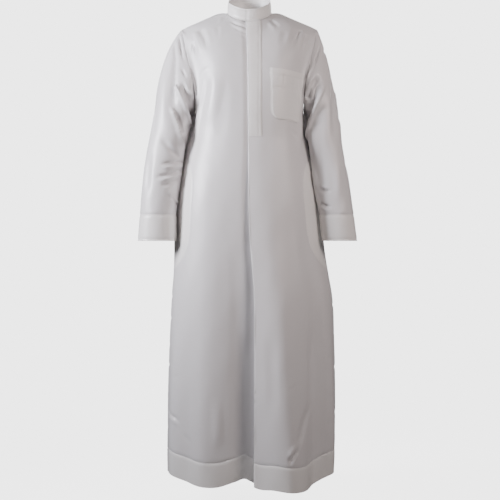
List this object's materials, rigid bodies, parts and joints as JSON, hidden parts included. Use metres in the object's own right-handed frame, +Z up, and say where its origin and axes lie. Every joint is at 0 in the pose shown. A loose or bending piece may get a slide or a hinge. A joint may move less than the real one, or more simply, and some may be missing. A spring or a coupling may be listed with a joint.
{
  "type": "thobe robe",
  "caption": "Full-length white thobe robe in its worn, hollow form: band collar, covered front placket, centre pleat, chest pocket, long sleeves with deep plain cuffs.",
  "frame": {"origin": "middle of the neck opening, level with the sides of the neck, where the wearer's shoulders carry the robe", "axes": "+Z up; the front faces -Y; +X towards the wearer's left"},
  "size_m": [0.6745, 0.4283, 1.5058],
  "materials": {
    "white_cloth": "smooth plain weave, pressed, with a faint soft sheen"
  },
  "bodies": {
    "root": {"front_left": "white_cloth", "front_right": "white_cloth", "back": "white_cloth", "sleeve_left": "white_cloth", "sleeve_right": "white_cloth", "cuff_left": "white_cloth", "cuff_right": "white_cloth", "collar": "white_cloth", "placket": "white_cloth", "chest_pocket": "white_cloth", "side_pocket_left": "white_cloth", "side_pocket_right": "white_cloth"}
  },
  "joints": []
}
